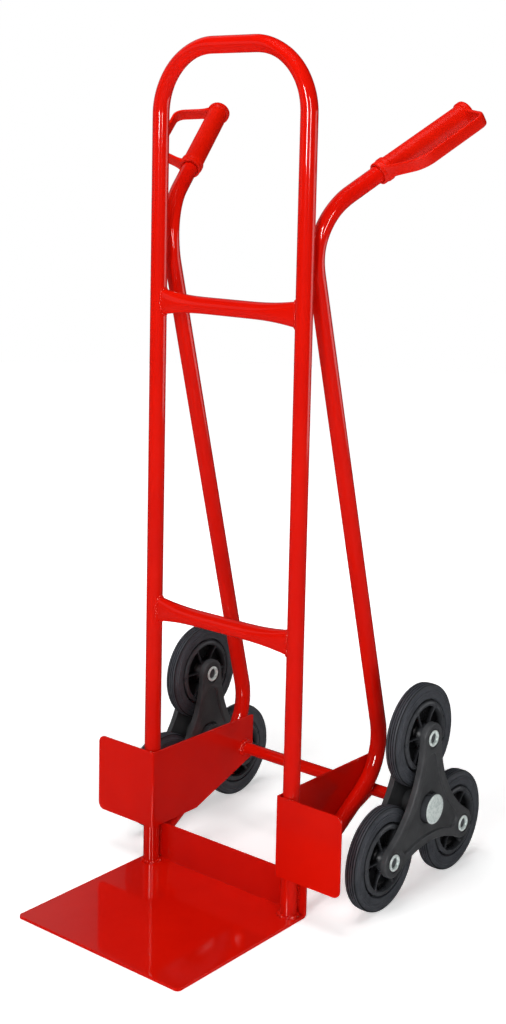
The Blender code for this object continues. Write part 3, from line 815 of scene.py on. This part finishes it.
def quarter(radius, steps):
    """Steps round a quarter circle, as distances from the two straight lines it joins."""
    turns = [math.pi / 2 * k / steps for k in range(steps + 1)]
    return [(radius * (1 - math.sin(a)), radius * (1 - math.cos(a))) for a in turns]


def spider_mesh():
    """A moulded three-armed plate, sunk between its arms. Its back is at x = 0, its face at SPIDER_T."""
    rise = SPIDER_WAIST_R - SPIDER_BOSS_R
    side_centre = (CLUSTER_R**2 - rise**2) / (CLUSTER_R - 2 * rise)
    side_r = side_centre - SPIDER_WAIST_R
    recess_side = side_r + RIM_FACE_WIDTH
    tip_gap = math.hypot(side_centre * math.sin(math.pi / 3), side_centre * 0.5 - RECESS_TIP)
    recess_tip = tip_gap - recess_side
    bm = bmesh.new()

    def outer(inset, x):
        return [(x, u, v) for u, v in star(CLUSTER_R, SPIDER_BOSS_R - inset, side_centre, side_r + inset)]

    def inner(inset, x):
        return [(x, u, v) for u, v in star(RECESS_TIP, recess_tip - inset, side_centre, recess_side + inset)]

    def bored(steps, y=0.0, z=0.0):
        return loft(bm, [around(Vector((x, y, z)), radius, 36) for radius, x in steps], caps=False)

    def fill(loops, normal):
        edges = []
        for loop in loops:
            for i, vert in enumerate(loop):
                edges.append(bm.edges.get((vert, loop[(i + 1) % len(loop)])))
        bmesh.ops.triangle_fill(bm, use_beauty=True, use_dissolve=False, edges=edges, normal=normal)

    face, floor, pocket_floor = SPIDER_T, SPIDER_T - RECESS_DEPTH, SPIDER_T - POCKET_DEPTH
    wall = [outer(near, far) for far, near in reversed(quarter(BACK_ROUND_R, 2))]
    wall += [outer(near, face - far) for far, near in quarter(EDGE_ROUND_R, 5)]
    edge = loft(bm, wall, caps=False)
    slope = [inner(-far, face - near) for far, near in quarter(LIP_ROUND_R, 4)]
    slope += [inner(0.0003 + near, floor + far) for far, near in quarter(FLOOR_ROUND_R, 4)]
    recess = loft(bm, slope, caps=False)
    pocket = bored([
        (POCKET_R + 0.0006, floor), (POCKET_R, floor - 0.0006), (POCKET_R - 0.0003, pocket_floor),
        (SHAFT_BORE_R, pocket_floor), (SHAFT_BORE_R, 0.0),
    ])
    fronts, backs = [edge[-1], recess[0]], [edge[0], pocket[-1]]
    for degrees in (90, 210, 330):
        turn = math.radians(degrees)
        seat = face - SEAT_DEPTH
        steps = [(SEAT_R + 0.0005, face), (SEAT_R, face - 0.0005), (SEAT_R, seat)]
        steps += [(PIN_HOLE_R, seat), (PIN_HOLE_R, 0.0)]
        hole = bored(steps, CLUSTER_R * math.cos(turn), CLUSTER_R * math.sin(turn))
        fronts.append(hole[0])
        backs.append(hole[-1])
    fill(fronts, (1, 0, 0))
    fill([recess[-1], pocket[0]], (1, 0, 0))
    fill(backs, (-1, 0, 0))
    return finish_mesh(bm, "spider", 42)


def tyre_mesh():
    """Flat tread with fine grooves, bevelled shoulders, flat sidewalls and a groove beside the rim."""
    half = TYRE_HALF
    tread_half = half - SHOULDER_WIDTH
    pitch = 2 * tread_half / TREAD_LANDS
    tread = []
    for k in range(TREAD_LANDS):
        top, low = tread_half - k * pitch, tread_half - (k + 1) * pitch
        crown = [WHEEL_R - 0.0005 * (along / tread_half) ** 2 for along in (top, low)]
        tread += [(crown[0] - (0.0003 if k == 0 else 0.0), top), (crown[1], low + 0.38 * pitch)]
        if k < TREAD_LANDS - 1:
            bottom = crown[1] - TREAD_DEPTH
            tread += [(bottom, low + 0.33 * pitch), (bottom, low + 0.05 * pitch)]
    edge = WHEEL_R - 0.0008
    tread.append((edge, -tread_half))
    shoulder = []
    for t, drop in ((0.34, 0.0), (0.44, 0.0007), (0.78, 0.0), (0.88, 0.0007)):
        along = tread_half + (half - tread_half) * t - drop
        shoulder.append((edge - 0.0095 * t - drop * 0.5, along))
    side = [
        (RIM_R + 0.0006, half - 0.0055), (RIM_R + 0.0014, half - 0.0022), (RIM_R + 0.0024, half - 0.0006),
        (0.0585, half - 0.0001), (0.0640, half), (0.0645, half - 0.0004), (0.0652, half - 0.0004),
        (0.0657, half), (WHEEL_R - 0.0103, half),
    ]
    outer = side + shoulder[::-1]
    profile = outer + tread + [(radius, -along) for radius, along in reversed(outer)]
    profile += [(RIM_R + 0.0001, -half + 0.0058), (RIM_R + 0.0001, half - 0.0058)]
    return turned(profile, 112)


def rib_mesh():
    """One rib through the web, along Z, a little lower and thinner at its middle."""
    inner, outer = HUB_R - 0.002, RIM_OPENING_R - 0.0004
    rings = []
    for step in range(9):
        t = step / 8
        radius = inner + (outer - inner) * t
        tall = 0.0112 - 0.0016 * math.sin(math.pi * t)
        thick = 0.0013 + 0.0011 * (abs(2 * t - 1) ** 6)
        edge = [(tall, thick * 0.55), (tall - 0.0006, thick), (0.0006 - tall, thick), (-tall, thick * 0.55)]
        ring = edge + [(along, -across) for along, across in reversed(edge)]
        rings.append([(along, across, radius) for along, across in ring])
    bm = bmesh.new()
    loft(bm, rings)
    return finish_mesh(bm, "rib", 50)


def rim_mesh():
    """Lip rings, barrel, web and hub in one moulding, with thin ribs on both sides of the web."""
    web, hub, opening, lip = 0.0015, HUB_HALF, RIM_OPENING_R, RIM_HALF
    half = [
        (PIN_HOLE_R, hub), (HUB_R - 0.0040, hub), (HUB_R - 0.0030, hub - 0.0010), (HUB_R, hub - 0.0040),
        (HUB_R + 0.0006, web + 0.003), (HUB_R + 0.003, web), (opening - 0.0045, web),
        (opening - 0.0014, web + 0.003), (opening - 0.0002, lip - 0.0018), (opening + 0.0004, lip - 0.0005),
        (opening + 0.0018, lip), (opening + 0.0042, lip - 0.0004), (RIM_R - 0.0024, lip - 0.0013),
        (RIM_R - 0.0012, lip - 0.0024), (RIM_R - 0.0008, lip - 0.0074), (RIM_R, lip - 0.0076),
    ]
    parts = [turned(both_ways(half), 96)]
    for k in range(6):
        rib = rib_mesh()
        rib.transform(Matrix.Rotation(math.radians(60 * k - 33), 4, "X"))
        parts.append(rib)
    return joined("rim", parts, 42)


def pin_mesh(reach):
    """A hollow rivet through both spiders, its ends rolled over into round flanges."""
    bore, flange = PIN_BORE_R, PIN_FLANGE_R
    half = [
        (bore, reach - 0.0026), (bore + 0.0003, reach - 0.0012), (bore + 0.0012, reach - 0.0003),
        (bore + 0.0024, reach), (flange - 0.0016, reach - 0.0001), (flange - 0.0004, reach - 0.0007),
        (flange, reach - 0.0016), (flange - 0.0003, reach - 0.0027), (PIN_R, reach - 0.0027),
    ]
    return turned(both_ways(half), 56)


def cap_mesh():
    """The disc on the axle's end, a little domed, its back at x = 0."""
    profile = [
        (0.0, CAP_T), (CAP_R - 0.008, CAP_T - 0.0001), (CAP_R - 0.0030, CAP_T - 0.0004),
        (CAP_R - 0.0006, CAP_T - 0.0010), (CAP_R, CAP_T - 0.0020), (CAP_R, CAP_T - 0.0026),
        (0.0120, CAP_T - 0.0027), (0.0120, 0.0), (0.0, 0.0),
    ]
    return turned(fillet(profile, [0, 0.004, 0.003, 0.001, 0.0008, 0.0005, 0, 0.0005, 0], 3), 72)


def ring_mesh(outer, half, round_r):
    """A plain ring on the shaft."""
    profile = [(SHAFT_BORE_R, -half), (outer, -half), (outer, half), (SHAFT_BORE_R, half)]
    return turned(fillet(profile, [round_r] * 4, 2), 48)


def collar_mesh(base, top):
    """The dark ring behind an end cap."""
    profile = [(0.0130, base), (COLLAR_R, base), (COLLAR_R, top), (0.0130, top)]
    return turned(fillet(profile, [0, 0, 0.0008, 0.0006], 3), 56)


def bore_shade_mesh(half):
    """A dark plug standing in for the shade down inside a pin's bore."""
    radius = PIN_BORE_R - 0.0001
    profile = [(0.0, -half), (radius, -half), (radius, half), (0.0, half)]
    return turned(fillet(profile, [0, 0.0006, 0.0006, 0], 2), 40)


def make_clusters(rubber, nylon, polymer, zinc):
    spider, tyre, rim = spider_mesh(), tyre_mesh(), rim_mesh()
    pin_low, pin_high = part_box("wheel_pin_right_1")
    pin_half = (pin_high.x - pin_low.x) / 2
    pin, bore_shade = pin_mesh(pin_half), bore_shade_mesh(pin_half - 0.0042)
    cap, washer = cap_mesh(), ring_mesh(WASHER_R, WASHER_T / 2, 0.0003)
    spacer = ring_mesh(SLEEVE_R, SPIDER_BACK, 0.0004)
    face = SPIDER_BACK + SPIDER_T
    cap_x = cap_low.x - WHEEL_X
    collar = collar_mesh(face - POCKET_DEPTH, cap_x + CAP_T - 0.0030)
    at_spider = Matrix.Translation((SPIDER_BACK, 0, 0))
    at_washer = Matrix.Translation((face + GAP + WASHER_T / 2, 0, 0))
    at_cap = Matrix.Translation((cap_x, 0, 0))
    flip = Matrix.Rotation(math.pi, 4, "Z")

    def add(matrix, name, mesh, material, body, slot, *nodes):
        return place(name, mesh.copy(), material, body, slot, *nodes, matrix=matrix)

    for side, sign in SIDES.items():
        middle = Matrix.Translation((sign * WHEEL_X, AXLE.y, AXLE.z))
        outward = middle if sign > 0 else middle @ flip
        cluster = f"cluster_{side}"
        for which, turn in (("outer", outward), ("inner", outward @ flip)):
            end = f"{which}_{side}"
            node = f"spider_{end}"
            weighted(add(turn @ at_spider, f"star_plate_{end}", spider, nylon, cluster, "black_nylon", node))
            add(turn, f"star_collar_{end}", collar, polymer, cluster, "black_nylon")
            node = f"washer_{end}"
            add(turn @ at_washer, f"axle_washer_{end}", washer, zinc, "frame", "zinc_plated_steel", node)
        add(middle, f"spacer_{side}", spacer, nylon, cluster, "black_nylon", f"hub_sleeve_{side}")
        node = f"axle_cap_{side}"
        add(outward @ at_cap, f"end_cap_{side}", cap, zinc, "frame", "zinc_plated_steel", node)
        for number in WHEELS:
            wheel = f"{side}_{number}"
            body = f"wheel_{wheel}"
            hub = Matrix.Translation(JOINTS[f"wheel_{wheel}_spin"])
            add(hub, f"pin_{wheel}", pin, zinc, cluster, "zinc_plated_steel", f"wheel_pin_{wheel}")
            # Painted shade: a dark plug down in each pin's bore.
            add(hub, f"pin_bore_shade_{wheel}", bore_shade, polymer, cluster, "black_nylon")
            add(hub, f"tread_{wheel}", tyre, rubber, body, "black_rubber", f"tyre_{wheel}")
            add(hub, f"hubcore_{wheel}", rim, polymer, body, "black_polymer", f"rim_{wheel}")


# ---- Stage --------------------------------------------------------------------------------
def emission_material(name, strength):
    material = bpy.data.materials.new(name)
    material.use_nodes = True
    tree = material.node_tree
    tree.nodes.clear()
    emission = tree.nodes.new("ShaderNodeEmission")
    emission.inputs["Color"].default_value = (1.0, 1.0, 1.0, 1.0)
    emission.inputs["Strength"].default_value = strength
    output = tree.nodes.new("ShaderNodeOutputMaterial")
    tree.links.new(emission.outputs[0], output.inputs["Surface"])
    return material


def stage_object(name, bm, material):
    mesh = bpy.data.meshes.new(name)
    bm.to_mesh(mesh)
    bm.free()
    mesh.materials.append(material)
    obj = bpy.data.objects.new(name, mesh)
    bpy.context.scene.collection.objects.link(obj)
    return obj


def floor_material():
    """A matt pale grey with a white glow that grows away from the truck."""
    material = bpy.data.materials.new("pale_floor")
    material.use_nodes = True
    tree = material.node_tree
    shader = tree.nodes["Principled BSDF"]
    shader.inputs["Base Color"].default_value = (0.94, 0.94, 0.94, 1.0)
    shader.inputs["Roughness"].default_value = 0.9
    shader.inputs["Specular IOR Level"].default_value = 0.0
    shader.inputs["Emission Color"].default_value = (1.0, 1.0, 1.0, 1.0)
    distance = tree.nodes.new("ShaderNodeVectorMath")
    distance.operation = "LENGTH"
    tree.links.new(tree.nodes.new("ShaderNodeTexCoord").outputs["Object"], distance.inputs[0])
    spread = tree.nodes.new("ShaderNodeMapRange")
    spread.interpolation_type = "SMOOTHSTEP"
    limits = {"From Min": 0.45, "From Max": 1.5, "To Min": FLOOR_GLOW, "To Max": FLOOR_GLOW_FAR}
    for socket, value in limits.items():
        spread.inputs[socket].default_value = value
    tree.links.new(distance.outputs["Value"], spread.inputs["Value"])
    tree.links.new(spread.outputs["Result"], shader.inputs["Emission Strength"])
    return material


def make_stage():
    bm = bmesh.new()
    bmesh.ops.create_circle(bm, cap_ends=True, segments=96, radius=6.0)
    floor = stage_object("floor", bm, floor_material())
    floor.location.z = -0.0004
    floor.visible_glossy = False

    bm = bmesh.new()
    bmesh.ops.create_uvsphere(bm, u_segments=48, v_segments=24, radius=14.0)
    backdrop = stage_object("backdrop", bm, emission_material("white_backdrop", 1.0))
    for kind in ("diffuse", "glossy", "transmission", "volume_scatter", "shadow"):
        setattr(backdrop, f"visible_{kind}", False)


def make_world():
    """Dim all round, with a pale lobe behind the truck's left, like a studio's backdrop."""
    world = bpy.data.worlds.new("studio")
    bpy.context.scene.world = world
    world.use_nodes = True
    tree = world.node_tree
    background = tree.nodes["Background"]
    coords = tree.nodes.new("ShaderNodeTexCoord")
    dot = tree.nodes.new("ShaderNodeVectorMath")
    dot.operation = "DOT_PRODUCT"
    dot.inputs[1].default_value = Vector((-0.90, 0.25, 0.40)).normalized()
    tree.links.new(coords.outputs["Generated"], dot.inputs[0])
    ramp = tree.nodes.new("ShaderNodeValToRGB")
    stops = zip(ramp.color_ramp.elements, (0.868, 0.902), (WORLD_DIM, WORLD_LOBE))
    for element, position, grey in stops:
        element.position = position
        element.color = (grey, grey, grey, 1.0)
    tree.links.new(dot.outputs["Value"], ramp.inputs["Fac"])
    tree.links.new(ramp.outputs["Color"], background.inputs["Color"])
    background.inputs["Strength"].default_value = 1.0


def area(name, location, target, size, power):
    light = bpy.data.lights.new(name, "AREA")
    light.shape = "RECTANGLE"
    light.size, light.size_y = size
    light.energy = power
    obj = bpy.data.objects.new(name, light)
    bpy.context.scene.collection.objects.link(obj)
    obj.location = location
    obj.rotation_euler = (Vector(target) - Vector(location)).to_track_quat("-Z", "Y").to_euler()
    return obj


def make_lights():
    area("tall_left", (0.90, -3.05, 1.72), (0.0, 0.0, 1.0), (0.36, 1.25), 32.5)
    area("tall_right", (2.68, -1.73, 1.72), (0.0, 0.0, 1.0), (0.26, 1.25), 15.0)
    area("side_left", (-2.3, -2.2, 1.6), (0.0, 0.0, 0.4), (1.2, 1.5), 0.8)
    area("rear_right", (2.6, 2.8, 0.75), (0.1, 0.1, 0.3), (2.2, 1.5), 10.0)
    area("rear_left", (-3.3, -0.7, 0.9), (0.0, 0.0, 0.6), (1.0, 1.6), 0.3)
    top = area("top", (0.0, -0.6, 3.1), (0.0, 0.0, 0.2), (1.6, 1.6), 57.0)
    top.visible_glossy = False


def make_camera():
    """A three-quarter view: 39.5 degrees round from the front, 8.2 down, with 1.2 of roll."""
    azimuth, pitch, roll = (math.radians(angle) for angle in (39.5439, 8.1505, 1.1678))
    level = math.cos(pitch)
    back = Vector((math.sin(azimuth) * level, -math.cos(azimuth) * level, math.sin(pitch)))
    right = Vector((math.cos(azimuth), math.sin(azimuth), 0.0))
    up = back.cross(right)
    c, s = math.cos(roll), math.sin(roll)
    right, up = right * c + up * s, up * c - right * s
    camera = bpy.data.cameras.new("camera")
    camera.sensor_fit = "VERTICAL"
    camera.sensor_width = camera.sensor_height = 36.0
    camera.lens = LENS
    camera.shift_x, camera.shift_y = 0.0182, -0.1271
    camera.clip_start, camera.clip_end = 0.05, 60.0
    obj = bpy.data.objects.new("camera", camera)
    bpy.context.scene.collection.objects.link(obj)
    spot = behind(1.4449, -1.7337, 1.0992)
    obj.matrix_world = Matrix.Translation(spot) @ Matrix((right, up, back)).transposed().to_4x4()
    bpy.context.scene.camera = obj


def main():
    steel, plastic, rubber = red_paint(), red_plastic(), black_rubber()
    nylon, polymer, zinc = black_nylon(), black_polymer(), zinc_plate()
    make_loop(steel)
    make_crossbars(steel)
    make_toe_plate(steel)
    make_side_plates(steel)
    make_handles(steel, plastic)
    make_axle(steel, zinc)
    make_clusters(rubber, nylon, polymer, zinc)
    make_stage()
    make_world()
    make_lights()
    make_camera()
    bpy.context.scene.view_settings.view_transform = "Standard"
    bpy.context.view_layer.update()


main()
